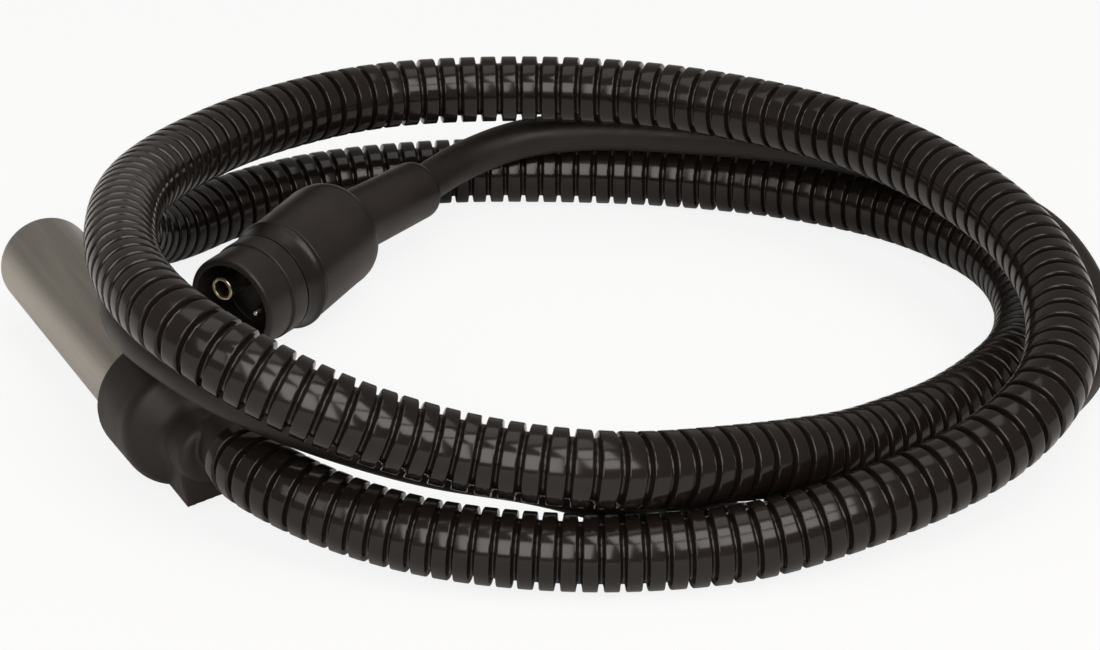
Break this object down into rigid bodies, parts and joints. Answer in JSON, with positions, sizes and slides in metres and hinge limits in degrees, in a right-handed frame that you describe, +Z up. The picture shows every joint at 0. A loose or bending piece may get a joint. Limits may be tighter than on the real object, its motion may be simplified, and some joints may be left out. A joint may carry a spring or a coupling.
{
  "type": "abs wheel speed sensor",
  "caption": "Wheel speed sensor with a plain steel barrel and a moulded head, a coiled corrugated conduit over its cable, and a round plug with socket and pin contacts.",
  "frame": {"origin": "middle of the sensor's own box (barrel and head, without the cord and its plug) at its base, which is the lowest line of the round head, on the table", "axes": "+Y along the barrel toward the sensing face, +Z up from the table, +X toward the inside of the coil"},
  "size_m": [0.1702, 0.1658, 0.0413],
  "materials": {
    "steel_sleeve": "satin",
    "steel_core": "machined",
    "magnet_metal": "ground",
    "coil_copper": "enamelled",
    "inner_plastic": "moulded",
    "terminal_brass": "stamped",
    "seal_rubber": "matt",
    "head_plastic": "fine matt moulding",
    "conduit_plastic": "semi-gloss, corrugated",
    "cable_jacket": "satin",
    "core_brown": "satin",
    "core_blue": "satin",
    "plug_plastic": "fine matt moulding",
    "collar_rubber": "matt",
    "contact_gold": "gold plated",
    "contact_tin": "tin plated"
  },
  "bodies": {
    "root": {"sensor_sleeve": "steel_sleeve", "pole_pin": "steel_core", "magnet": "magnet_metal", "coil_bobbin": "inner_plastic", "coil_winding": "coil_copper", "insert_carrier": "inner_plastic", "terminal_left": "terminal_brass", "terminal_right": "terminal_brass", "sleeve_o_ring": "seal_rubber", "head_overmould": "head_plastic", "conduit": "conduit_plastic", "sensor_cable": "cable_jacket", "core_wire_a": "core_brown", "core_wire_b": "core_blue", "plug_insert": "plug_plastic", "plug_collar": "collar_rubber", "plug_body": "plug_plastic", "socket_contact": "contact_gold", "pin_contact": "contact_tin", "plug_core_a": "core_brown", "plug_core_b": "core_blue"}
  },
  "joints": []
}
